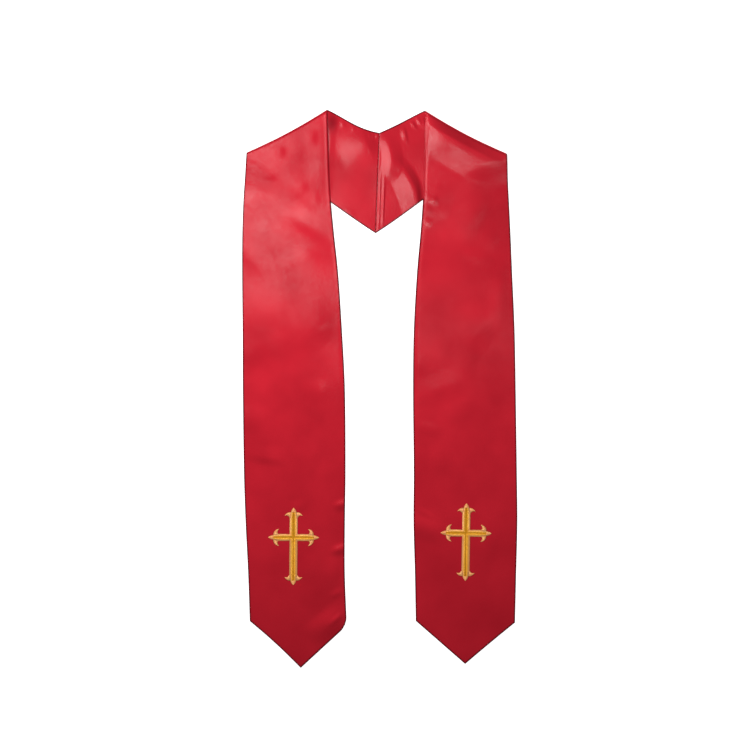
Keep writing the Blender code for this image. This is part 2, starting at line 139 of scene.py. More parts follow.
LEFT = Side(
    name="left",
    sign=-1,
    apex=np.array([-63.2, 334.7]),
    corner=np.array([-159.5, 283.3]),
    fold_sag=2.2,
    loop_radius=1.9,
    loop_ease=80.0,
    loop_swell=0.0,
    neck_sag=3.0,
    lower_bulge=5.0,
    widths=(
        Width(y=334, neck=-62.7, outer=-157.0),
        Width(y=281, neck=-61.1, outer=-159.3),
        Width(y=235, neck=-59.3, outer=-163.0),
        Width(y=190, neck=-55.3, outer=-164.8),
        Width(y=140, neck=-50.0, outer=-165.1),
        Width(y=70, neck=-45.3, outer=-164.5),
        Width(y=0, neck=-41.8, outer=-164.2),
        Width(y=-100, neck=-41.0, outer=-162.9),
        Width(y=-160, neck=-41.8, outer=-160.9),
        Width(y=-220, neck=-41.9, outer=-157.9),
        Width(y=-284, neck=-39.5, outer=-155.7),
    ),
    hem_neck=-284.0,
    hem_outer=-278.7,
    hem_tip=np.array([-94.7, -334.9]),
    hem_bow=1.6,
    curl=2.0,
    lip=0.3,
    lip_width=5.0,
    folds_stop=58.0,
    back_folds=(
        Fold(x=-15, y=290, along=30, across=26, height=1.2, turn=112, lean=0.45, flatness=1),
    ),
    front_folds=(
        Fold(x=-60, y=-282, along=36, across=20, height=2.2, turn=40),
        Fold(x=-44, y=-192, along=16, across=9, height=0.9, turn=20),
        Fold(x=-43, y=-139, along=15, across=8, height=0.9, turn=24),
        Fold(x=-80, y=68, along=52, across=32, height=1.0, turn=41, lean=0.2, flatness=0.6),
        Fold(x=-140, y=50, along=32, across=28, height=0.7, turn=156, flatness=0.6),
    ),
    back_creases=(
        Fold(x=-61, y=272, along=72, across=7, height=0.25, turn=86.5),
        Fold(x=-62, y=322, along=18, across=14, height=0.9, turn=80, flatness=0.4),
        Fold(x=-43.5, y=317, along=7, across=4, height=0.2, turn=105, lean=0.3, flatness=1),
        Fold(x=-31, y=312, along=5, across=4, height=0.14, turn=115, lean=0.3, flatness=1),
        Fold(x=-12, y=304, along=5, across=2.2, height=0.18, turn=104),
        Fold(x=-8, y=303.5, along=5, across=1.8, height=0.14, turn=95),
        Fold(x=-4, y=303, along=5, across=1.8, height=0.14, turn=84),
        Fold(x=-34, y=208, along=9, across=10, height=0.25, turn=66, lean=0.3),
    ),
    front_creases=(
        Fold(x=-61, y=275, along=70, across=32, height=0.7, turn=88),
        Fold(x=-120, y=284, along=11, across=11, height=0.3, turn=92, lean=0.2),
        Fold(x=-130, y=257, along=10, across=13, height=0.26, turn=84, lean=0.2),
        Fold(x=-81, y=300, along=12, across=10, height=0.3, turn=84, lean=0.2),
        Fold(x=-96, y=238, along=14, across=17, height=0.4, turn=96, lean=0.2),
        Fold(x=-80, y=226, along=15, across=14, height=0.35, turn=86, lean=0.2),
        Fold(x=-96, y=188, along=38, across=14, height=0.6, turn=157, lean=0.1, flatness=0.5),
        Fold(x=-126, y=172, along=14, across=14, height=0.14, turn=110, lean=0.2),
        Fold(x=-150, y=150, along=26, across=14, height=0.3, turn=128, lean=-0.2, flatness=0.4),
        Fold(x=-86, y=158, along=16, across=20, height=0.3, turn=70, lean=0.2),
        Fold(x=-112, y=146, along=18, across=12, height=0.2, turn=28, lean=0.2),
        Fold(x=-66, y=74, along=20, across=18, height=0.25, turn=80, lean=0.3),
        Fold(x=-156, y=34, along=20, across=12, height=0.3, turn=96),
        Fold(x=-72, y=-3, along=18, across=20, height=0.4, turn=84, lean=0.3),
        Fold(x=-152, y=-36, along=22, across=22, height=0.6, turn=50, lean=0.1),
        Fold(x=-136, y=-82, along=32, across=13, height=0.6, turn=170, lean=-0.2, flatness=0.5),
        Fold(x=-84, y=-84, along=36, across=20, height=0.6, turn=76, lean=0.2),
        Fold(x=-99, y=-142, along=17, across=10, height=0.35, turn=24),
        Fold(x=-84, y=-212, along=26, across=16, height=0.3, turn=70),
        Fold(x=-47, y=-138, along=14, across=6, height=0.35, turn=20),
        Fold(x=-50, y=-193, along=14, across=6, height=0.5, turn=24, flatness=0.5),
        Fold(x=-57, y=-222, along=28, across=15, height=0.8, turn=86, lean=0.1),
        Fold(x=-52, y=-246, along=12, across=6, height=0.4, turn=28, flatness=0.5),
        Fold(x=-53, y=-277, along=15, across=5, height=0.6, turn=42, flatness=0.6),
    ),
    sheen_spots=(
        Fold(x=-119, y=284, along=13, across=12, height=-0.5, turn=90),
        Fold(x=-130, y=258, along=13, across=15, height=-0.4, turn=84),
        Fold(x=-80, y=301, along=15, across=12, height=-0.6, turn=84),
        Fold(x=-90, y=235, along=24, across=32, height=-0.55, turn=96),
        Fold(x=-92, y=189, along=46, across=14, height=-0.7, turn=155),
        Fold(x=-68, y=160, along=34, across=30, height=-0.7, turn=90),
        Fold(x=-158, y=150, along=42, across=18, height=-0.6, turn=128),
        Fold(x=-154, y=262, along=12, across=10, height=0.4, turn=90),
        Fold(x=-155, y=232, along=14, across=12, height=0.6, turn=90),
        Fold(x=-142, y=195, along=16, across=13, height=0.5, turn=20),
        Fold(x=-110, y=155, along=20, across=12, height=0.3, turn=10),
        Fold(x=-90, y=207, along=18, across=9, height=0.25, turn=0),
        Fold(x=-75, y=268, along=22, across=12, height=0.6, turn=20),
    ),
    # Shade painted on the back part in the pocket beside the shoulder's loop
    shaded_spots=(Fold(x=-59, y=319, along=20, across=14, height=0.5, turn=80),),
    dull_below=66.0,
    cross=np.array([-103.4, -178.4]),
    cross_lean=-0.4,
)

RIGHT = Side(
    name="right",
    sign=1,
    apex=np.array([54.4, 333.6]),
    corner=np.array([152.6, 282.0]),
    fold_sag=2.4,
    loop_radius=2.2,
    loop_ease=60.0,
    loop_swell=2.3,
    neck_sag=0.3,
    lower_bulge=8.0,
    widths=(
        Width(y=334, neck=53.9, outer=150.0),
        Width(y=281, neck=53.6, outer=152.1),
        Width(y=235, neck=52.2, outer=154.5),
        Width(y=190, neck=49.2, outer=156.7),
        Width(y=140, neck=44.8, outer=158.8),
        Width(y=70, neck=40.9, outer=161.8),
        Width(y=0, neck=40.0, outer=163.1),
        Width(y=-100, neck=40.9, outer=164.5),
        Width(y=-160, neck=40.6, outer=165.1),
        Width(y=-220, neck=42.2, outer=163.7),
        Width(y=-280, neck=43.3, outer=162.3),
    ),
    hem_neck=-278.5,
    hem_outer=-280.5,
    hem_tip=np.array([102.5, -330.2]),
    hem_bow=0.4,
    curl=0.0,
    lip=-0.45,
    lip_width=5.5,
    folds_stop=51.5,
    back_folds=(
        Fold(x=14.2, y=275, along=36, across=14, height=1.15, turn=90, lean=-0.1, bend=13, flatness=1),
        Fold(x=43.5, y=235, along=58, across=18, height=2.5, turn=109, lean=0.42, bend=15, flatness=1),
    ),
    front_folds=(
        Fold(x=112, y=214, along=44, across=26, height=0.9, turn=70, lean=0.2),
        Fold(x=118, y=72, along=46, across=36, height=0.9, turn=56, lean=0.3, flatness=0.5),
        Fold(x=78, y=2, along=36, across=22, height=0.7, turn=22, flatness=0.5),
        Fold(x=58, y=-168, along=34, across=18, height=0.9, turn=160),
    ),
    back_creases=(
        Fold(x=0.2, y=222, along=46, across=2.2, height=0.4, turn=88, lean=0.5, flatness=1),
        Fold(x=4.6, y=222, along=44, across=2.6, height=0.5, turn=88, lean=0.35, flatness=1),
        Fold(x=30.6, y=304, along=13, across=4.6, height=0.45, turn=101, lean=0.3, flatness=0.8),
        Fold(x=41, y=316, along=7, across=3.4, height=0.34, turn=116, lean=0.3, flatness=1),
        Fold(x=48, y=320, along=10, across=3.6, height=0.4, turn=116, lean=0.2, flatness=1),
        Fold(x=54, y=318, along=12, across=4, height=0.45, turn=112, lean=0.3, flatness=1),
    ),
    front_creases=(
        Fold(x=66, y=226, along=6, across=9, height=0.6, turn=78, lean=0.4, flatness=0.5),
        Fold(x=60, y=199, along=4, across=6, height=0.42, turn=84, lean=0.4, flatness=0.5),
        Fold(x=60, y=214, along=5, across=5, height=0.25, turn=90, lean=0.4),
        Fold(x=68, y=240, along=10, across=5, height=0.25, turn=30),
        Fold(x=78, y=212, along=13, across=14, height=0.2, turn=80, lean=0.3),
        Fold(x=134, y=180, along=20, across=16, height=0.3, turn=76, lean=0.2),
        Fold(x=112, y=160, along=30, across=12, height=0.2, turn=165),
        Fold(x=144, y=110, along=60, across=14, height=0.35, turn=88, lean=0.2),
        Fold(x=47, y=28, along=16, across=9, height=0.2, turn=84, lean=-0.2),
        Fold(x=104, y=30, along=30, across=20, height=0.3, turn=86, lean=0.2),
        Fold(x=60, y=-48, along=20, across=11, height=0.35, turn=160),
        Fold(x=70, y=-90, along=34, across=14, height=0.3, turn=84),
        Fold(x=56, y=-150, along=18, across=6, height=0.3, turn=150),
        Fold(x=130, y=-190, along=34, across=20, height=0.4, turn=70, lean=0.2),
    ),
    sheen_spots=(
        Fold(x=61, y=294, along=28, across=19, height=1.6, turn=110),
        Fold(x=75, y=268, along=16, across=12, height=-0.35, turn=150),
        Fold(x=104, y=272, along=26, across=12, height=-0.25, turn=152),
        Fold(x=136, y=268, along=26, across=14, height=0.5, turn=152),
        Fold(x=122, y=249, along=62, across=16, height=-0.8, turn=168),
        Fold(x=60, y=226, along=9, across=10, height=1.2, turn=0),
        Fold(x=57, y=199, along=7, across=5, height=1.2, turn=0),
    ),
    shaded_spots=(),
    dull_below=150.0,
    cross=np.array([103.6, -173.2]),
    cross_lean=-0.9,
)

# Embroidered cross: the length of each arm from the crossing to its bud's tip, and its half width
Arm = namedtuple("Arm", "turn length half_width fleur")

# The end of an arm, as points set back from the bud's tip and to the side of the arm's middle line
Fleur = namedtuple("Fleur", "join inner_pull petal_tip outer_pull notch bud_pull")
UPRIGHT_FLEUR = Fleur(
    join=(12.5, 4.9),
    inner_pull=(8.5, 6.2),
    petal_tip=(9.6, 10.8),
    outer_pull=(4.9, 8.2),
    notch=(5.3, 3.5),
    bud_pull=(2.3, 3.0),
)
CROSSWISE_FLEUR = Fleur(
    join=(12.8, 4.2),
    inner_pull=(10.0, 5.8),
    petal_tip=(13.2, 10.2),
    outer_pull=(6.4, 9.4),
    notch=(6.2, 2.9),
    bud_pull=(2.6, 2.6),
)
UPRIGHT_HALF = 4.9
CROSSWISE_HALF = 4.2
ARMS = (
    Arm(turn=0, length=30.6, half_width=CROSSWISE_HALF, fleur=CROSSWISE_FLEUR),
    Arm(turn=90, length=35.7, half_width=UPRIGHT_HALF, fleur=UPRIGHT_FLEUR),
    Arm(turn=180, length=30.6, half_width=CROSSWISE_HALF, fleur=CROSSWISE_FLEUR),
    Arm(turn=270, length=57.1, half_width=UPRIGHT_HALF, fleur=UPRIGHT_FLEUR),
)

# Stitches: their spacing, half width and roundness, how far they slant, and where along a column the slant
# has grown to its full and starts to fall
STITCH_PITCH = 0.42
STITCH_HALF = 0.24
STITCH_ROUND = 0.2
STITCH_SLANT = 2.4
SLANT_GROWN = 0.15
SLANT_FALLS = 0.8

# A stitch's points: shares of its length, and steps across it with their heights, as shares of its half width
# and of its roundness
STITCH_SHARES = np.array([0.0, 0.1, 0.28, 0.5, 0.72, 0.9, 1.0])
STITCH_SIDES = np.array([-1.0, -0.7, 0.0, 0.7, 1.0])
STITCH_TOPS = np.array([-0.6, 0.45, 1.0, 0.45, -0.6])
SHORTEST_STITCH = 0.15
FEWEST_STITCHES = 4

# Heights of the stitches above the panel, and of the padding below them. A stitch shorter than the full
# width is lower, down to the least share, and a raised end takes a share off the crest.
GROOVE_HEIGHT = 0.5
EDGE_HEIGHT = 0.1
CREST_HEIGHT = 1.35
FULL_WIDTH = 4.0
LEAST_CREST = 0.25
CREST_FULLNESS = 0.7
RAISED_END_DROP = 0.25
PAD_DROP = 0.16
PETAL_RAISED = 0.12
BUD_RAISED = 0.05

# How uneven hand-guided stitches are in height, width and tone
UNEVEN_HEIGHT = 0.02
UNEVEN_WIDTH = 0.05
UNEVEN_TONE = 0.16
STITCH_SEED = 7

# How much peach highlight is painted on the stitches at both ends, from 0 to 1, along an arm, in a petal and
# in the bud
SHAFT_RIMS = (0.0, 1.0)
PETAL_RIMS = (0.8, 1.0)
BUD_RIMS = (1.0, 0.9)

# Shade painted in the groove down an arm's middle, from 0 to 1, and where it begins beside the crossing
UPRIGHT_GROOVE_SHADE = 0.7
CROSSWISE_GROOVE_SHADE = 0.15
GROOVE_START = 5.0
# The padding's tone and the shade painted on it, and the steps along a curve
PAD_TONE = 0.2
PAD_SHADE = 0.6
CURVE_STEPS = 12

# How far apart the points of a stitch lie on its map for the weave, in metres
STITCH_MAP_STEP = 0.1

# The picture's middle and the width that it shows, and the camera
VIEW_MIDDLE = (-5.64, 16.5)
VIEW_FIELD = 900.0
CAMERA_HEIGHT = 4000.0
SENSOR = 36.0

# The floor, in metres
FLOOR_LEVEL = -0.0004
FLOOR_HALF = 6.0


def smooth(x):
    """0 below 0, 1 above 1, and an S-curve between."""
    x = np.clip(x, 0.0, 1.0)
    return x * x * (3 - 2 * x)


def bump(x):
    """1 at 0, falling smoothly to 0 at 1 and beyond."""
    return 0.5 + 0.5 * np.cos(np.pi * np.clip(x, -1.0, 1.0))


def flank(x, flatness):
    """A fold's height from its crest at 0 to its foot at 1: a soft wave, or flat flanks with a round top."""
    a = np.abs(x)
    whole = 1 - CREST_ROUND
    crest = 1 - a * a / (2 * CREST_ROUND * whole)
    foot = np.clip(1 - a, 0.0, 1.0) ** 2 / (2 * CREST_ROUND * whole)
    straight = (1 - a - CREST_ROUND / 2) / whole
    flat_flanks = np.where(a < CREST_ROUND, crest, np.where(a > whole, foot, straight))
    return bump(x) * (1 - flatness) + flat_flanks * flatness


def unit(vector):
    return vector / np.linalg.norm(vector)


def smooth_through(rows, column, y):
    """The column's value at height y, on a smooth curve through the table's rows."""
    heights = [row.y for row in rows]
    values = [getattr(row, column) for row in rows]
    last = len(rows) - 1
    slopes = []
    for i in range(last + 1):
        above = max(i - 1, 0)
        below = min(i + 1, last)
        slopes.append((values[below] - values[above]) / (heights[below] - heights[above]))
    y = min(max(y, heights[-1]), heights[0])
    i = next(k for k in range(last) if y >= heights[k + 1])
    step = heights[i + 1] - heights[i]
    u = (y - heights[i]) / step
    rise = u * u * (3 - 2 * u)
    ease_out = u * (1 - u) ** 2 * step * slopes[i]
    ease_in = u * u * (1 - u) * step * slopes[i + 1]
    return values[i] + (values[i + 1] - values[i]) * rise + ease_out - ease_in


def inward(side):
    """The direction at right angles to the shoulder fold, pointing into the panel."""
    along = unit(side.apex - side.corner)
    across = np.array([along[1], -along[0]])
    return across if across[1] < 0 else -across


def fold_ends(side):
    """The middle layer's ends of the fold line, half the strip's thickness inside the outline."""
    step = inward(side) * HALF_STRIP
    return side.apex + step, side.corner + step


def lift(folds, x, y):
    """How far folds raise the cloth at each place."""
    total = np.zeros_like(x)
    for fold in folds:
        turn = math.radians(fold.turn)
        dx = x - fold.x
        dy = y - fold.y
        along = dx * math.cos(turn) + dy * math.sin(turn)
        across = dy * math.cos(turn) - dx * math.sin(turn)
        across = across - fold.bend * (along / fold.along) ** 2
        reach = fold.across * np.where(across > 0, 1 + fold.lean, 1 - fold.lean)
        total += fold.height * bump(along / fold.along) * flank(across / reach, fold.flatness)
    return total


def inside_lower_edge(side, x, y):
    """The distance of places inside the back part's lower edge, negative beyond it."""
    _, corner = fold_ends(side)
    run = corner - SEAM_TIP
    length = np.linalg.norm(run)
    along = run / length
    up = np.array([-along[1], along[0]])
    up = up if up[1] > 0 else -up
    dx = x - SEAM_TIP[0]
    dy = y - SEAM_TIP[1]
    share = np.clip((dx * along[0] + dy * along[1]) / length, 0.0, 1.0)
    return dx * up[0] + dy * up[1] - side.lower_bulge * np.sin(math.pi * share**LOWER_SKEW)


def neck_edge(side, distance):
    """The back part's upper edge, at a distance from the fold line."""
    apex, _ = fold_ends(side)
    share = distance / float((SEAM_TOP - apex) @ inward(side))
    sag = side.neck_sag * math.sin(math.pi * share**NECK_SKEW)
    return apex + (SEAM_TOP - apex) * share - np.array([0.0, sag])


def lower_edge(side, distance):
    """The back part's lower edge, at a distance from the fold line."""
    _, corner = fold_ends(side)
    run = SEAM_TIP - corner
    share = distance / float(run @ inward(side))
    up = np.array([-run[1], run[0]]) / np.linalg.norm(run)
    up = up if up[1] > 0 else -up
    bow = side.lower_bulge * math.sin(math.pi * max(1 - share, 0.0) ** LOWER_SKEW)
    return corner + run * share + up * bow


def steps_between(start, end, step):
    """Even steps after the start up to the end, none longer than the step."""
    count = max(math.ceil(abs(end - start) / step), 1)
    return [start + (end - start) * k / count for k in range(1, count + 1)]


# A row across a strip: its ends at the neck edge and the outer edge, whether it is on the front, how far it
# has turned to the hem's point, and its distance from the hem
Section = namedtuple("Section", "neck outer front point to_hem")


def back_section(neck, outer):
    return Section(neck, outer, False, 0.0, FAR_FROM_EDGE)


def back_sections(side):
    """Sections from the centre-back seam to the fold line, close together beside the seam."""
    apex, corner = fold_ends(side)
    neck_run = float((SEAM_TOP - apex) @ inward(side)) - PARALLEL_BACK
    outer_run = float((SEAM_TIP - corner) @ inward(side)) - PARALLEL_BACK
    seam_side = np.array([side.sign * SEAM_STEP_BACK, 0.0])
    far = list(EDGE_STEPS)
    far += steps_between(far[-1], SEAM_BAND, SEAM_STEP)
    far += steps_between(far[-1], outer_run, CELL_ALONG)
    sections = []
    for from_seam in far:
        share = 1 - from_seam / outer_run
        neck = neck_edge(side, PARALLEL_BACK + neck_run * share)
        outer = lower_edge(side, PARALLEL_BACK + outer_run * share)
        beside_seam = seam_side * float(smooth(share))
        sections.append(back_section(neck + beside_seam, outer + beside_seam))
    quarter_turn = side.loop_radius * math.pi / 2
    distances = steps_between(PARALLEL_BACK, quarter_turn, FOLD_STEP)
    distances += steps_between(quarter_turn, 0.0, quarter_turn / TURN_ROWS)
    for distance in distances:
        sections.append(back_section(neck_edge(side, distance), lower_edge(side, distance)))
    return sections


def front_drops(side):
    """How far below the fold line each front section lies at its outer end, down to the hem."""
    _, corner = fold_ends(side)
    quarter_turn = side.loop_radius * math.pi / 2 / -inward(side)[1]
    hem = corner[1] - side.hem_outer
    drops = steps_between(0.0, quarter_turn, quarter_turn / TURN_ROWS)
    drops += steps_between(quarter_turn, FOLD_BAND, FOLD_STEP)
    drops += steps_between(FOLD_BAND, hem - EDGE_STEPS[-1], CELL_ALONG)
    drops += [hem - step for step in EDGE_STEPS[-2::-1]]
    return drops


def front_sections(side):
    """Sections from the fold line to the hem: parallel to the fold, then level, then pointed."""
    apex, corner = fold_ends(side)
    slant = apex[1] - corner[1]
    hem = corner[1] - side.hem_outer
    sections = []
    for drop in front_drops(side):
        levelled = float(smooth((drop - LEVEL_FROM) / (LEVEL_TO - LEVEL_FROM)))
        pointed = float(smooth((drop - POINT_FROM) / (hem - POINT_FROM)))
        outer_y = corner[1] - drop
        neck_y = outer_y + slant * (1 - levelled) + (side.hem_neck - side.hem_outer) * pointed
        neck = np.array([smooth_through(side.widths, "neck", neck_y), neck_y])
        outer = np.array([smooth_through(side.widths, "outer", outer_y), outer_y])
        sections.append(Section(neck, outer, True, pointed, hem - drop))
    return sections


def tip_share(side):
    """Where the hem's tip lies across the strip, from 0 at the neck edge to 1 at the outer edge."""
    neck = smooth_through(side.widths, "neck", side.hem_neck)
    outer = smooth_through(side.widths, "outer", side.hem_outer)
    return (side.hem_tip[0] - neck) / (outer - neck)


def column_shares(side, width):
    """The columns' places across a section, close together at both edges, with one on the hem's tip."""
    middle = tip_share(side)
    edge = np.array(EDGE_STEPS) / width
    inner = np.linspace(edge[-1], middle, CELLS_ACROSS + 1)[1:]
    outer = np.linspace(middle, 1 - edge[-1], CELLS_ACROSS + 1)[1:]
    return np.concatenate([edge, inner, outer, (1 - edge)[-2::-1]])


Cloth = namedtuple("Cloth", "points normals edge seen_edge along across front from_neck")


def cut_lengths(points, axis):
    """Lengths along one axis of a grid of points, from its first row or column."""
    steps = np.linalg.norm(np.diff(points, axis=axis), axis=2)
    return np.concatenate([np.take(steps, [0], axis=axis) * 0, np.cumsum(steps, axis=axis)], axis=axis)


def strip_middle(side):
    """The middle of a strip between its face and its lining, from the seam to the hem, on the fine grid."""
    apex, _ = fold_ends(side)
    into = inward(side)
    sections = back_sections(side) + front_sections(side)
    neck = np.array([section.neck for section in sections])
    outer = np.array([section.outer for section in sections])
    front = np.array([section.front for section in sections])[:, None]
    point = np.array([section.point for section in sections])[:, None]
    to_hem = np.array([section.to_hem for section in sections])[:, None]
    width = np.linalg.norm(outer - neck, axis=1)
    shares = np.array([column_shares(side, w) for w in width])
    middle = tip_share(side)
    depth = side.hem_neck + (side.hem_outer - side.hem_neck) * middle - side.hem_tip[1]
    to_tip = np.where(shares < middle, shares / middle, (1 - shares) / (1 - middle))
    flat = neck[:, None, :] + (outer - neck)[:, None, :] * shares[:, :, None]
    x = flat[:, :, 0]
    y = flat[:, :, 1] - depth * point * to_tip
    bow = np.where(shares > middle, np.sin(np.pi * (shares - middle) / (1 - middle)), 0.0)
    y = y + side.hem_bow * bow * point**4
    from_corner = (x - neck[-1, 0]) ** 2 + (y - neck[-1, 1]) ** 2
    curled = side.curl * np.exp(-from_corner / CURL_REACH**2)
    x = x + side.sign * curled
    y = y + curled * CURL_RISE
    distance = np.maximum((x - apex[0]) * into[0] + (y - apex[1]) * into[1], 0.0)

    radius = side.loop_radius
    quarter_turn = radius * math.pi / 2
    in_turn = distance < quarter_turn
    angle = np.minimum(distance / radius, math.pi / 2)
    settled = smooth((distance - quarter_turn) / SETTLE)
    taken_in_turn = distance - radius * (1 - np.cos(angle))
    taken_up = np.where(in_turn, taken_in_turn, (quarter_turn - radius) * (1 - settled))
    sag = side.fold_sag * np.sin(math.pi * shares) * (1 - smooth(distance / (2 * SETTLE)))
    x = x + into[0] * (sag - taken_up)
    y = y + into[1] * (sag - taken_up)

    back_turn = FLOOR_MIDDLE + radius - radius * np.sin(angle)
    clear_of_front = smooth((side.folds_stop - np.abs(x)) / FOLDS_FADE)
    back = np.where(in_turn, back_turn, FLOOR_MIDDLE + lift(side.back_folds, x, y) * clear_of_front)
    loop_top = FLOOR_MIDDLE + 2 * radius
    eased = smooth((distance - quarter_turn) / side.loop_ease)
    swell_reach = np.where(distance < SWELL_CREST, SWELL_CREST - quarter_turn / 2, SWELL_FALL)
    swell_along = np.sin(math.pi * shares**SWELL_SKEW)
    swell = side.loop_swell * flank((distance - SWELL_CREST) / swell_reach, 1.0) * swell_along
    over = np.where(
        in_turn,
        FLOOR_MIDDLE + radius + radius * np.sin(angle),
        loop_top + (STACK_MIDDLE - loop_top) * eased + swell,
    )
    covered = 1 - smooth(-inside_lower_edge(side, x, y) / STEP_LENGTH)
    over = FLOOR_MIDDLE + (over - FLOOR_MIDDLE) * covered
    over = np.where(in_turn, over, over + lift(side.front_folds, x, y))
    z = np.where(front, over, back)

    points = np.stack([x, y, z], axis=2)
    along = cut_lengths(points, 0)
    across = cut_lengths(points, 1)
    normals = surface_normals(points) * side.sign
    seam = unit(SEAM_TOP - SEAM_TIP)
    from_seam = np.abs((x - SEAM_TIP[0]) * seam[1] - (y - SEAM_TIP[1]) * seam[0]) - SEAM_STEP_BACK
    from_seam = np.where(front, FAR_FROM_EDGE, np.maximum(from_seam, 0.0))
    run = np.where(shares < middle, side.hem_tip[0] - neck[-1, 0], outer[-1, 0] - side.hem_tip[0])
    hem_slope = np.cos(np.arctan(depth / np.abs(run)))
    from_side = np.minimum(shares, 1 - shares) * width[:, None]
    from_rim = np.minimum(from_side, to_hem * hem_slope)
    edge = np.minimum(from_rim, from_seam)
    from_neck = shares * width[:, None]
    # How far in the shade painted along the rims reaches: lighter at the seam and where a front panel's neck
    # edge lies over the back part
    over_back = smooth(inside_lower_edge(side, x, y) / OVER_BACK_EASE)
    over_back = over_back * smooth(2 - from_neck / OVER_BACK_REACH)
    lighter = OVER_BACK_SHADE * np.where(front, over_back, 0.0)
    seen_edge = np.minimum(from_rim + lighter, from_seam + SEAM_SHADE)
    return Cloth(points, normals, edge, seen_edge, along, across, front & ~in_turn, from_neck)


def surface_normals(points):
    """Unit normals of a grid of points."""
    normals = np.cross(np.gradient(points, axis=0), np.gradient(points, axis=1))
    return normals / np.linalg.norm(normals, axis=2, keepdims=True)


def rolled(edge):
    """0 at an edge, rounding up to 1 a roll's width inside it."""
    return np.sqrt(1 - (1 - np.clip(edge / ROLL, 0.0, 1.0)) ** 2)


def outer_offset(cloth, relief):
    """How far a layer's outer side lies from the strip's middle, rolled in at the edges."""
    puffed = PUFF * (1 - np.exp(-cloth.edge / PUFF_EASE)) + relief * smooth(cloth.edge / RELIEF_EASE)
    full = np.maximum(HALF_STRIP + puffed, THINNEST)
    return SEAM_HALF + (full - SEAM_HALF) * rolled(cloth.edge)


def add_attribute(mesh, name, values):
    attribute = mesh.attributes.new(name, "FLOAT", "POINT")
    attribute.data.foreach_set("value", np.asarray(values, np.float32))


def add_cloth_map(mesh, places):
    """A map of the flat cut in metres, across and along the strip, for the weave."""
    layer = mesh.uv_layers.new(name="cut")
    corners = np.zeros(len(mesh.loops), np.int32)
    mesh.loops.foreach_get("vertex_index", corners)
    layer.data.foreach_set("uv", np.asarray(places, np.float32)[corners].ravel())


def make_mesh(name, points, faces, material):
    """A smooth-shaded object in metres from points in millimetres."""
    mesh = bpy.data.meshes.new(name)
    mesh.from_pydata((np.asarray(points) * MM).tolist(), [], faces)
    mesh.shade_smooth()
    mesh.materials.append(material)
    obj = bpy.data.objects.new(name, mesh)
    bpy.context.scene.collection.objects.link(obj)
    return obj


def grid_faces(rows, columns, first, flipped):
    """Quads of a grid of points numbered from first."""
    numbers = first + np.arange(rows * columns).reshape(rows, columns)
    quads = np.stack([numbers[:-1, :-1], numbers[:-1, 1:], numbers[1:, 1:], numbers[1:, :-1]], axis=2)
    quads = quads.reshape(-1, 4)
    return (quads[:, ::-1] if flipped else quads).tolist()


def rim_faces(rows, columns, flipped):
    """Quads that join the rims of two grids of the same size, the second numbered after the first."""
    numbers = np.arange(rows * columns).reshape(rows, columns)
    loop = np.concatenate([numbers[0, :], numbers[1:, -1], numbers[-1, -2::-1], numbers[-2:0:-1, 0]])
    following = np.roll(loop, -1)
    below = loop + rows * columns
    below_following = following + rows * columns
    quads = np.stack([loop, below, below_following, following], axis=1)
    return (quads[:, ::-1] if flipped else quads).tolist()


def cloth_layer(name, cloth, looks, offset, inner, material, flipped):
    """A thin closed shell for one layer of a strip."""
    outer_side = cloth.points + cloth.normals * offset[:, :, None]
    inner_side = cloth.points + cloth.normals * inner
    rows, columns = offset.shape
    points = np.concatenate([outer_side.reshape(-1, 3), inner_side.reshape(-1, 3)])
    faces = grid_faces(rows, columns, 0, flipped)
    faces += grid_faces(rows, columns, rows * columns, not flipped)
    faces += rim_faces(rows, columns, flipped)
    obj = make_mesh(name, points, faces, material)
    for label, values in looks.items():
        add_attribute(obj.data, label, np.tile(values.ravel(), 2))
    places = np.stack([cloth.across, cloth.along], axis=2).reshape(-1, 2) * MM
    add_cloth_map(obj.data, np.tile(places, (2, 1)))
    return obj


def add_strip(side, satin, lining_satin):
    """A side's face and lining, each a shell in place of its solid."""
    cloth = strip_middle(side)
    x = cloth.points[:, :, 0]
    y = cloth.points[:, :, 1]
    back_relief = np.where(cloth.front, 0.0, lift(side.back_creases, x, y))
    lip = side.lip * smooth(1 - cloth.from_neck / side.lip_width)
    front_relief = np.where(cloth.front, lift(side.front_creases, x, y) + lip, 0.0)
    face_offset = outer_offset(cloth, front_relief)
    lining_offset = outer_offset(cloth, back_relief)
    face_offset = np.where(cloth.front, face_offset, np.minimum(face_offset, HALF_STRIP))
    lining_offset = np.where(cloth.front, np.minimum(lining_offset, HALF_STRIP), lining_offset)
    flip_lining = side.sign > 0
    crushed = CRUSHED * (1 - smooth((y - side.dull_below) / CRUSHED_EASE))
    # Shade painted on the back part at the shaded spots, where the coat is lower too
    shade = np.where(cloth.front, 0.0, lift(side.shaded_spots, x, y))
    front_sheen = np.maximum(1 - crushed + lift(side.sheen_spots, x, y), 0.0)
    sheen = np.where(cloth.front, front_sheen, 1 - shade)
    # The edge attribute sets the shade painted along the rims, and shade is painted shade
    looks = {"edge": cloth.seen_edge, "sheen": sheen, "shade": shade}
    face = cloth_layer(
        side.name + "_satin_face", cloth, looks, face_offset, INNER_SIDE, satin, not flip_lining
    )
    lining = cloth_layer(
        side.name + "_satin_lining", cloth, looks, -lining_offset, -INNER_SIDE, lining_satin, flip_lining
    )
    for obj, node, slot, under in (
        (face, side.name + "_face", "satin", [lining]),
        (lining, side.name + "_lining", "lining", []),
    ):
        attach(obj, "root")
        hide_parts(node)


def curve(start, pull, end):
    """Points on a curve that leaves the start towards the pull point and reaches the end from it."""
    u = np.linspace(0, 1, CURVE_STEPS + 1)[:, None]
    start, pull, end = (np.array(p, float) for p in (start, pull, end))
    return start * (1 - u) ** 2 + pull * 2 * u * (1 - u) + end * u * u


def turned(points, turn):
    turn = math.radians(turn)
    spin = np.array([[math.cos(turn), math.sin(turn)], [-math.sin(turn), math.cos(turn)]])
    return np.asarray(points, float) @ spin


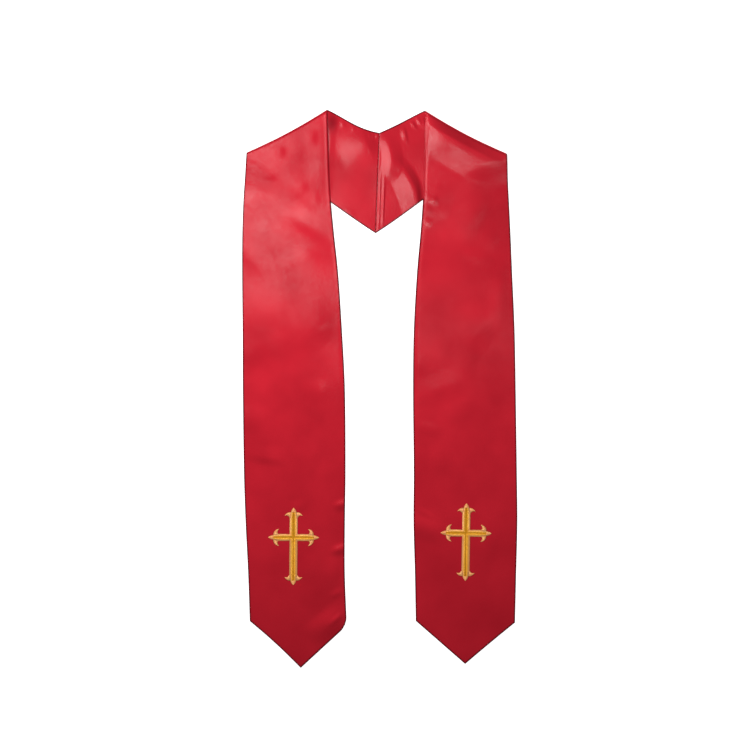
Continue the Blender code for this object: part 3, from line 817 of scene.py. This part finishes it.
def point_on(line, share):
    """Places on a line of points, at shares of its length."""
    steps = np.linalg.norm(np.diff(line, axis=0), axis=1)
    far = np.concatenate([[0.0], np.cumsum(steps)])
    wanted = np.clip(share, 0.0, 1.0) * far[-1]
    return np.stack([np.interp(wanted, far, line[:, 0]), np.interp(wanted, far, line[:, 1])], axis=1)


# A column of satin stitch between two lines, with how much peach highlight and how much shade are painted at
# each end of its stitches, from 0 to 1, the heights of both ends, how far the stitches slant, and how far
# they are raised
Column = namedtuple(
    "Column",
    "first second first_rim second_rim first_shade second_shade first_height second_height slant raise_by",
)


def edge_column(first, second, rims, raise_by):
    """A column whose stitches start and end low, at a painted shadow outline."""
    return Column(first, second, *rims, 1.0, 1.0, EDGE_HEIGHT, EDGE_HEIGHT, 0.0, raise_by)


def arm_columns(arm):
    """The stitched columns of an arm: two along it, two petals and the bud."""
    fleur = arm.fleur
    other_half = UPRIGHT_HALF if arm.half_width == CROSSWISE_HALF else CROSSWISE_HALF
    place = {name: np.array([arm.length - back, out]) for name, (back, out) in fleur._asdict().items()}
    groove_end = np.array([place["notch"][0], 0.0])
    columns = []
    for mirror in (1, -1):
        flip = np.array([1.0, mirror])
        middle_line = np.array([[0.0, 0.0], groove_end]) * flip
        edge_line = np.array([[other_half, arm.half_width], place["join"], place["notch"]]) * flip
        shaft = edge_column(middle_line, edge_line, SHAFT_RIMS, 0.0)
        groove_shade = UPRIGHT_GROOVE_SHADE if arm.half_width == UPRIGHT_HALF else CROSSWISE_GROOVE_SHADE
        shaft = shaft._replace(first_shade=groove_shade, first_height=GROOVE_HEIGHT, slant=STITCH_SLANT)
        columns.append(shaft)
        inner = curve(place["join"], place["inner_pull"], place["petal_tip"]) * flip
        outer = curve(place["notch"], place["outer_pull"], place["petal_tip"]) * flip
        columns.append(edge_column(inner, outer, PETAL_RIMS, PETAL_RAISED))
    upper = curve(place["notch"], place["bud_pull"], (arm.length, 0.0))
    lower = upper * np.array([1.0, -1.0])
    columns.append(edge_column(upper, lower, BUD_RIMS, BUD_RAISED))
    return [
        column._replace(first=turned(column.first, arm.turn), second=turned(column.second, arm.turn))
        for column in columns
    ]


def line_length(line):
    return float(np.linalg.norm(np.diff(line, axis=0), axis=1).sum())


def stitch_ends(column, count):
    """Both ends of each stitch in a column, slanted away from its start."""
    share = (np.arange(count) + 0.5) / count
    reach = column.slant / max(line_length(column.second), 1.0)
    falls = smooth((share - SLANT_FALLS) / (1 - SLANT_FALLS))
    second_share = share + reach * smooth(share / SLANT_GROWN) * (1 - falls)
    return point_on(column.first, share), point_on(column.second, second_share)


def stitch_heights(column, width):
    """Heights along a stitch: low at its ends and round between them, lower where it is short."""
    ends = column.first_height + (column.second_height - column.first_height) * STITCH_SHARES
    crest = (CREST_HEIGHT - EDGE_HEIGHT) * np.clip(width / FULL_WIDTH, LEAST_CREST, 1.0)
    rounded = np.sin(np.pi * STITCH_SHARES) ** CREST_FULLNESS
    crest = crest * rounded * (1 - RAISED_END_DROP * (ends - EDGE_HEIGHT))
    return ends + crest + column.raise_by


def embroidered_cross(side, ground, thread):
    """A cross of separate satin stitches over low padding, which lies on the panel."""
    rng = np.random.default_rng(STITCH_SEED)
    points = []
    faces = []
    tones = []
    rims = []
    shades = []
    maps = []

    def add(grid, tone, rim, shade):
        """Adds a small grid of points as quads."""
        rows, columns = grid.shape[:2]
        first = sum(len(block) for block in points)
        faces.extend(grid_faces(rows, columns, first, False))
        points.append(grid.reshape(-1, 3))
        tones.append(np.broadcast_to(tone, (rows, columns)).ravel())
        rims.append(np.broadcast_to(rim, (rows, columns)).ravel())
        shades.append(np.broadcast_to(shade, (rows, columns)).ravel())
        v, u = np.meshgrid(np.arange(columns), np.arange(rows))
        maps.append(np.stack([v, u], axis=2).reshape(-1, 2) * STITCH_MAP_STEP)

    u = STITCH_SHARES
    for arm in ARMS:
        for column in arm_columns(arm):
            length = max(line_length(column.first), line_length(column.second))
            count = max(int(length / STITCH_PITCH), FEWEST_STITCHES)
            first, second = stitch_ends(column, count)
            pad = []
            for k in range(count):
                run = second[k] - first[k]
                width = float(np.linalg.norm(run))
                if width < SHORTEST_STITCH:
                    continue
                across = np.array([-run[1], run[0]]) / width
                line = first[k] + run * u[:, None]
                heights = stitch_heights(column, width)
                pad.append(np.column_stack([line, heights - PAD_DROP]))
                heights = heights + rng.normal(0, UNEVEN_HEIGHT)
                half = STITCH_HALF * (1 + rng.normal(0, UNEVEN_WIDTH))
                grid = np.zeros((len(u), len(STITCH_SIDES), 3))
                grid[:, :, :2] = line[:, None, :] + across * (STITCH_SIDES * half)[None, :, None]
                grid[:, :, 2] = heights[:, None] + (STITCH_TOPS * STITCH_ROUND)[None, :]
                rim = column.first_rim + (column.second_rim - column.first_rim) * u
                tone = float(np.clip(rng.normal(0.5, UNEVEN_TONE), 0, 1))
                # Shade painted at the stitch ends: a shadow outline round the cross, and in the groove,
                # fading in beside the crossing
                shade = np.zeros(len(u))
                begun = float(smooth(k * STITCH_PITCH / GROOVE_START)) if column.first_shade < 1 else 1.0
                shade[0] = column.first_shade * begun
                shade[-1] = column.second_shade
                add(grid[:, ::-1], tone, rim[:, None], shade[:, None])
            if len(pad) > 1:
                add(np.array(pad), PAD_TONE, 0.0, PAD_SHADE)
    all_points = np.concatenate(points)
    spots = turned(all_points[:, :2], side.cross_lean) + side.cross
    all_points[:, 2] = np.maximum(all_points[:, 2], 0.0) + ground(spots[:, 0], spots[:, 1])
    all_points[:, :2] = spots
    obj = make_mesh(side.name + "_embroidered_cross", all_points, faces, thread)
    add_attribute(obj.data, "tone", np.concatenate(tones))
    add_attribute(obj.data, "rim", np.concatenate(rims))
    add_attribute(obj.data, "shade", np.concatenate(shades))
    add_cloth_map(obj.data, np.concatenate(maps))
    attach(obj, "root")
    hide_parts(side.name + "_cross")


def new_group(name, inputs, outputs):
    """An empty shader node group with float inputs and named outputs, and its two end nodes."""
    group = bpy.data.node_groups.new(name, "ShaderNodeTree")
    for label, value in inputs:
        socket = group.interface.new_socket(name=label, in_out="INPUT", socket_type="NodeSocketFloat")
        socket.default_value = value
    for label, kind in outputs:
        group.interface.new_socket(name=label, in_out="OUTPUT", socket_type=kind)
    start = group.nodes.new("NodeGroupInput")
    end = group.nodes.new("NodeGroupOutput")
    return group, start, end


def math_node(tree, operation, first, second):
    """A math node whose inputs are sockets or numbers."""
    node = tree.nodes.new("ShaderNodeMath")
    node.operation = operation
    for socket, value in zip(node.inputs, (first, second)):
        if isinstance(value, (int, float)):
            socket.default_value = value
        else:
            tree.links.new(value, socket)
    return node.outputs[0]


def noise_node(tree, coordinates, scale, detail):
    node = tree.nodes.new("ShaderNodeTexNoise")
    node.inputs["Detail"].default_value = detail
    tree.links.new(coordinates, node.inputs["Vector"])
    if isinstance(scale, (int, float)):
        node.inputs["Scale"].default_value = scale
    else:
        tree.links.new(scale, node.inputs["Scale"])
    return node.outputs["Fac"]


def stretched(tree, coordinates, factors):
    """Coordinates multiplied by a factor on each axis."""
    node = tree.nodes.new("ShaderNodeMapping")
    node.vector_type = "POINT"
    node.inputs["Scale"].default_value = factors
    tree.links.new(coordinates, node.inputs["Vector"])
    return node.outputs["Vector"]


# The weave: the scale of its wave texture, which at scale 1 has 20 / 2 pi waves in a metre, so that a rib of
# warp floats comes every 2.4 mm, and the thicker threads' spacing across the cut, drawn out along it
RIB_SCALE = 130.0
SLUBS_PER_METRE = 900.0
SLUB_STRETCH = 0.04


def satin_weave_group():
    """Faint ribs of warp floats along the cut, with a few thicker threads."""
    group, start, end = new_group(
        "satin_weave",
        [("Rib scale", RIB_SCALE), ("Slubs", 0.5)],
        [("Height", "NodeSocketFloat")],
    )
    cut = group.nodes.new("ShaderNodeUVMap")
    cut.uv_map = "cut"
    threads = group.nodes.new("ShaderNodeTexWave")
    threads.wave_type = "BANDS"
    threads.bands_direction = "X"
    threads.inputs["Distortion"].default_value = 1.2
    threads.inputs["Detail"].default_value = 1.0
    threads.inputs["Detail Scale"].default_value = 1.5
    group.links.new(cut.outputs["UV"], threads.inputs["Vector"])
    group.links.new(start.outputs[0], threads.inputs["Scale"])
    long_way = stretched(group, cut.outputs["UV"], (1.0, SLUB_STRETCH, 1.0))
    slub = noise_node(group, long_way, SLUBS_PER_METRE, 2.0)
    slubs = math_node(group, "MULTIPLY", slub, start.outputs[1])
    height = math_node(group, "ADD", threads.outputs["Fac"], slubs)
    group.links.new(height, end.inputs[0])
    return group


def cloudy_group():
    """Soft uneven patches, from 0 to 1, over the cloth."""
    group, start, end = new_group(
        "cloudy_patches",
        [("Patches per metre", 14.0), ("Contrast", 2.0)],
        [("Patch", "NodeSocketFloat")],
    )
    place = group.nodes.new("ShaderNodeTexCoord")
    noise = noise_node(group, place.outputs["Object"], start.outputs[0], 2.5)
    spread = math_node(group, "MULTIPLY", math_node(group, "SUBTRACT", noise, 0.5), start.outputs[1])
    clamp = group.nodes.new("ShaderNodeClamp")
    group.links.new(math_node(group, "ADD", spread, 0.5), clamp.inputs["Value"])
    group.links.new(clamp.outputs[0], end.inputs[0])
    return group


def place_group(tree, group, values):
    node = tree.nodes.new("ShaderNodeGroup")
    node.node_tree = group
    for name, value in values.items():
        node.inputs[name].default_value = value
    return node


def attribute(tree, name):
    node = tree.nodes.new("ShaderNodeAttribute")
    node.attribute_name = name
    return node.outputs["Fac"]


def mix_colours(tree, factor, first, second):
    """A colour mix whose factor is a socket and whose colours are sockets or values."""
    node = tree.nodes.new("ShaderNodeMix")
    node.data_type = "RGBA"
    tree.links.new(factor, node.inputs["Factor"])
    for socket, value in ((node.inputs[6], first), (node.inputs[7], second)):
        if isinstance(value, tuple):
            socket.default_value = value
        else:
            tree.links.new(value, socket)
    return node.outputs[2]


def ranged(tree, value, low, high, to_low, to_high):
    """A value moved from one range to another, and held inside it."""
    node = tree.nodes.new("ShaderNodeMapRange")
    node.inputs["From Min"].default_value = low
    node.inputs["From Max"].default_value = high
    node.inputs["To Min"].default_value = to_low
    node.inputs["To Max"].default_value = to_high
    tree.links.new(value, node.inputs["Value"])
    return node.outputs["Result"]


def bump_node(tree, height, distance, strength):
    node = tree.nodes.new("ShaderNodeBump")
    node.inputs["Strength"].default_value = strength
    node.inputs["Distance"].default_value = distance
    tree.links.new(height, node.inputs["Height"])
    return node.outputs["Normal"]


# Satin: its colour in dull and bright patches, the dark colour of the shade painted along its rims and in
# shaded spots, and its roughness and coat in both patches
Satin = namedtuple("Satin", "deep bright edge roughness metallic coat coat_roughness specular")
FACE_SATIN = Satin(
    deep=(0.43, 0.0115, 0.023, 1.0),
    bright=(0.52, 0.0145, 0.028, 1.0),
    edge=(0.06, 0.003, 0.006, 1.0),
    roughness=(0.55, 0.62),
    metallic=0.6,
    coat=(0.05, 0.26),
    coat_roughness=0.16,
    specular=0.0,
)
BACK_SATIN = FACE_SATIN._replace(
    deep=(0.42, 0.0100, 0.021, 1.0),
    bright=(0.51, 0.0125, 0.026, 1.0),
    coat=(0.14, 0.32),
    coat_roughness=0.14,
)

# The fine grain's share in the coat's patches, and its height against the threads'
GRAIN_SHARE = 0.35
CRINKLE = 1.0

# How deep the bump is, in metres, and how strong, on satin and on thread
SATIN_BUMP = (0.00004, 0.35)
THREAD_BUMP = (0.00003, 0.3)

# Between which distances from an edge the satin goes from the shade painted along its rims to its own colour,
# and how dark that painted shade starts
EDGE_DARK_TO = 0.4
EDGE_CLEAR_FROM = 2.3
EDGE_DARKNESS = 0.95


def satin_material(name, satin, weave, cloudy):
    material = bpy.data.materials.new(name)
    material.use_nodes = True
    tree = material.node_tree
    shader = tree.nodes["Principled BSDF"]
    shader.inputs["Metallic"].default_value = satin.metallic
    shader.inputs["Specular IOR Level"].default_value = satin.specular
    shader.inputs["Coat Roughness"].default_value = satin.coat_roughness
    patch = place_group(tree, cloudy, {"Patches per metre": 17.0, "Contrast": 1.9}).outputs["Patch"]
    grain = place_group(tree, cloudy, {"Patches per metre": 260.0, "Contrast": 4.0}).outputs["Patch"]
    base = mix_colours(tree, patch, satin.deep, satin.bright)
    # Painted shade: a dark line along the rims and the shaded spots, mixed into the base colour
    edge_shade = ranged(
        tree, attribute(tree, "edge"), EDGE_DARK_TO, EDGE_CLEAR_FROM, EDGE_DARKNESS, 0.0
    )
    dark = math_node(tree, "MAXIMUM", edge_shade, attribute(tree, "shade"))
    tree.links.new(mix_colours(tree, dark, base, satin.edge), shader.inputs["Base Color"])
    rough = ranged(tree, patch, 0.0, 1.0, satin.roughness[1], satin.roughness[0])
    tree.links.new(rough, shader.inputs["Roughness"])
    fine = math_node(tree, "MULTIPLY", grain, GRAIN_SHARE)
    broad = math_node(tree, "MULTIPLY", patch, 1 - GRAIN_SHARE)
    speckled = math_node(tree, "ADD", fine, broad)
    coat = ranged(tree, speckled, 0.0, 1.0, satin.coat[0], satin.coat[1])
    coat = math_node(tree, "MULTIPLY", coat, attribute(tree, "sheen"))
    tree.links.new(coat, shader.inputs["Coat Weight"])
    threads = place_group(tree, weave, {"Rib scale": RIB_SCALE, "Slubs": 0.6}).outputs["Height"]
    height = math_node(tree, "ADD", threads, math_node(tree, "MULTIPLY", grain, CRINKLE))
    tree.links.new(bump_node(tree, height, *SATIN_BUMP), shader.inputs["Normal"])
    return material


# Gold thread in its deepest and brightest stitches, with a highlight painted at the cross's rims, and painted
# shade
THREAD_DEEP = (0.66, 0.29, 0.010, 1.0)
THREAD_BRIGHT = (1.0, 0.52, 0.025, 1.0)
THREAD_RIM_HIGHLIGHT = (1.0, 0.51, 0.20, 1.0)
THREAD_SHADED = (0.34, 0.055, 0.008, 1.0)

# Between which values of rim and shade the painted highlight and painted shade come in, and how far they go
RIM_HIGHLIGHT_FROM = 0.35
RIM_HIGHLIGHT_TO = 0.85
SHADED_FROM = 0.1
SHADED_TO = 0.9
MOST_TURNED = 0.95


def thread_material(weave):
    material = bpy.data.materials.new("gold_embroidery_thread")
    material.use_nodes = True
    tree = material.node_tree
    shader = tree.nodes["Principled BSDF"]
    shader.inputs["Metallic"].default_value = 0.4
    shader.inputs["Roughness"].default_value = 0.42
    gold = mix_colours(tree, attribute(tree, "tone"), THREAD_DEEP, THREAD_BRIGHT)
    # Peach highlight painted along the rims, then shade painted at the outline, groove and padding
    peach = ranged(tree, attribute(tree, "rim"), RIM_HIGHLIGHT_FROM, RIM_HIGHLIGHT_TO, 0.0, MOST_TURNED)
    thread = mix_colours(tree, peach, gold, THREAD_RIM_HIGHLIGHT)
    shaded = ranged(tree, attribute(tree, "shade"), SHADED_FROM, SHADED_TO, 0.0, MOST_TURNED)
    tree.links.new(mix_colours(tree, shaded, thread, THREAD_SHADED), shader.inputs["Base Color"])
    threads = place_group(tree, weave, {"Rib scale": RIB_SCALE, "Slubs": 0.4}).outputs["Height"]
    tree.links.new(bump_node(tree, threads, *THREAD_BUMP), shader.inputs["Normal"])
    return material


def add_floor():
    """A wide pale floor just under the stole."""
    mesh = bpy.data.meshes.new("floor")
    corners = [
        (x * FLOOR_HALF, y * FLOOR_HALF, FLOOR_LEVEL) for x, y in ((-1, -1), (1, -1), (1, 1), (-1, 1))
    ]
    mesh.from_pydata(corners, [], [(0, 1, 2, 3)])
    material = bpy.data.materials.new("pale_floor")
    material.use_nodes = True
    tree = material.node_tree
    shader = tree.nodes["Principled BSDF"]
    shader.inputs["Roughness"].default_value = 0.9
    shader.inputs["Specular IOR Level"].default_value = 0.1
    place = tree.nodes.new("ShaderNodeTexCoord")
    patch = noise_node(tree, place.outputs["Object"], 3.0, 2.0)
    colour = mix_colours(tree, patch, (0.90, 0.90, 0.90, 1.0), (0.92, 0.92, 0.92, 1.0))
    tree.links.new(colour, shader.inputs["Base Color"])
    shader.inputs["Emission Color"].default_value = (1.0, 1.0, 1.0, 1.0)
    shader.inputs["Emission Strength"].default_value = FLOOR_GLOW
    mesh.materials.append(material)
    floor = bpy.data.objects.new("floor", mesh)
    bpy.context.scene.collection.objects.link(floor)


def add_camera():
    """Straight above the middle of the picture, with a long lens."""
    data = bpy.data.cameras.new("camera")
    data.sensor_width = SENSOR
    data.lens = SENSOR * CAMERA_HEIGHT / VIEW_FIELD
    data.clip_end = 50
    camera = bpy.data.objects.new("camera", data)
    camera.location = (VIEW_MIDDLE[0] * MM, VIEW_MIDDLE[1] * MM, CAMERA_HEIGHT * MM)
    bpy.context.scene.collection.objects.link(camera)
    bpy.context.scene.camera = camera


# Softboxes: the key lights the stole from the upper left, and the others hang overhead, where the satin
# mirrors them as its white sheen. Overhead rows give the name, shape, x, y, width, height and power.
Lamp = namedtuple("Lamp", "name shape place target width height power")
OVERHEAD = (
    ("top_softbox", "RECTANGLE", -0.205, 0.32, 0.22, 0.24, 2.1),
    ("low_softbox", "ELLIPSE", -0.158, 0.165, 0.13, 0.12, 0.40),
    ("corner_softbox", "ELLIPSE", -0.285, 0.09, 0.12, 0.14, 0.45),
    ("neck_softbox", "ELLIPSE", -0.012, 0.085, 0.12, 0.13, 0.78),
    ("side_softbox", "ELLIPSE", 0.15, 0.09, 0.20, 0.09, 0.50),
    ("shoulder_softbox", "ELLIPSE", 0.30, 0.09, 0.16, 0.24, 0.42),
    ("collar_softbox", "ELLIPSE", 0.045, 0.295, 0.06, 0.06, 0.05),
)
OVERHEAD_HEIGHT = 1.0
KEY = Lamp("key_softbox", "RECTANGLE", (-0.36, 0.42, 0.75), (0.0, 0.1, 0.0), 0.3, 0.3, 3.0)
LAMPS = [KEY] + [
    Lamp(name, shape, (x, y, OVERHEAD_HEIGHT), (x, y, 0.0), width, height, power)
    for name, shape, x, y, width, height, power in OVERHEAD
]
WORLD_STRENGTH = 0.28
FLOOR_GLOW = 0.75


def add_lamp(lamp):
    data = bpy.data.lights.new(lamp.name, "AREA")
    data.shape = lamp.shape
    data.size = lamp.width
    data.size_y = lamp.height
    data.energy = lamp.power
    light = bpy.data.objects.new(lamp.name, data)
    light.location = lamp.place
    towards = Vector(lamp.target) - Vector(lamp.place)
    light.rotation_euler = towards.to_track_quat("-Z", "Y").to_euler()
    bpy.context.scene.collection.objects.link(light)


def add_light():
    """Soft studio light, mostly from the left."""
    for lamp in LAMPS:
        add_lamp(lamp)
    world = bpy.data.worlds.new("studio")
    world.use_nodes = True
    background = world.node_tree.nodes["Background"]
    background.inputs["Color"].default_value = (1.0, 1.0, 1.0, 1.0)
    background.inputs["Strength"].default_value = WORLD_STRENGTH
    bpy.context.scene.world = world
    bpy.context.scene.view_settings.view_transform = "Standard"


def panel_top(side):
    """A function that gives the height of a front panel's upper side, where it lies on the floor."""

    def height(x, y):
        relief = lift(side.front_creases, x, y)
        return FLOOR_MIDDLE + lift(side.front_folds, x, y) + HALF_STRIP + PUFF + relief

    return height


def main():
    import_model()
    add_camera()
    weave = satin_weave_group()
    cloudy = cloudy_group()
    satin = satin_material("red_satin", FACE_SATIN, weave, cloudy)
    lining_satin = satin_material("red_lining_satin", BACK_SATIN, weave, cloudy)
    thread = thread_material(weave)
    for side in (LEFT, RIGHT):
        add_strip(side, satin, lining_satin)
        embroidered_cross(side, panel_top(side), thread)
    add_floor()
    add_light()


main()
